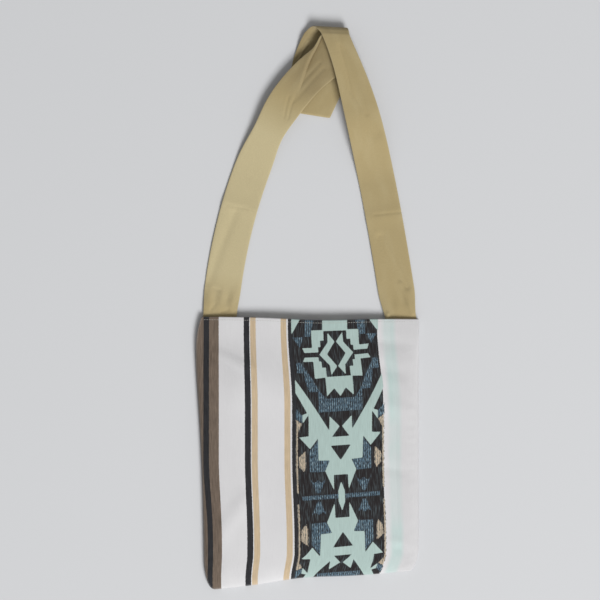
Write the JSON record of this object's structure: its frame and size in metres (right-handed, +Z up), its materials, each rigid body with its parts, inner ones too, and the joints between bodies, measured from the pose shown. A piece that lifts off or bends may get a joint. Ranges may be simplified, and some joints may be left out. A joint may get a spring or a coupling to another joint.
{
  "type": "crossbody bag",
  "caption": "Flat open-top cloth shoulder bag with a lengthwise striped front, a plain lining and a long flat strap sewn into its mouth, lying on its back with the strap folded above it.",
  "frame": {"origin": "under the middle of the laid-out bag and strap, on the surface it lies on", "axes": "+X across the bag to its right side, +Y from the bag's bottom to the strap's top fold, +Z up out of the front panel"},
  "size_m": [0.3194, 0.8054, 0.0223],
  "materials": {
    "woven_front": "heavy woven cotton, white with lengthwise stripes and a geometric band",
    "woven_back": "the same heavy woven cotton with lengthwise stripes",
    "lining_cotton": "plain buff cotton",
    "strap_cotton": "khaki cotton twill, matt, softly creased"
  },
  "bodies": {
    "root": {"front_panel": "woven_front", "back_panel": "woven_back", "front_lining": "lining_cotton", "back_lining": "lining_cotton", "strap": "strap_cotton"}
  },
  "joints": []
}
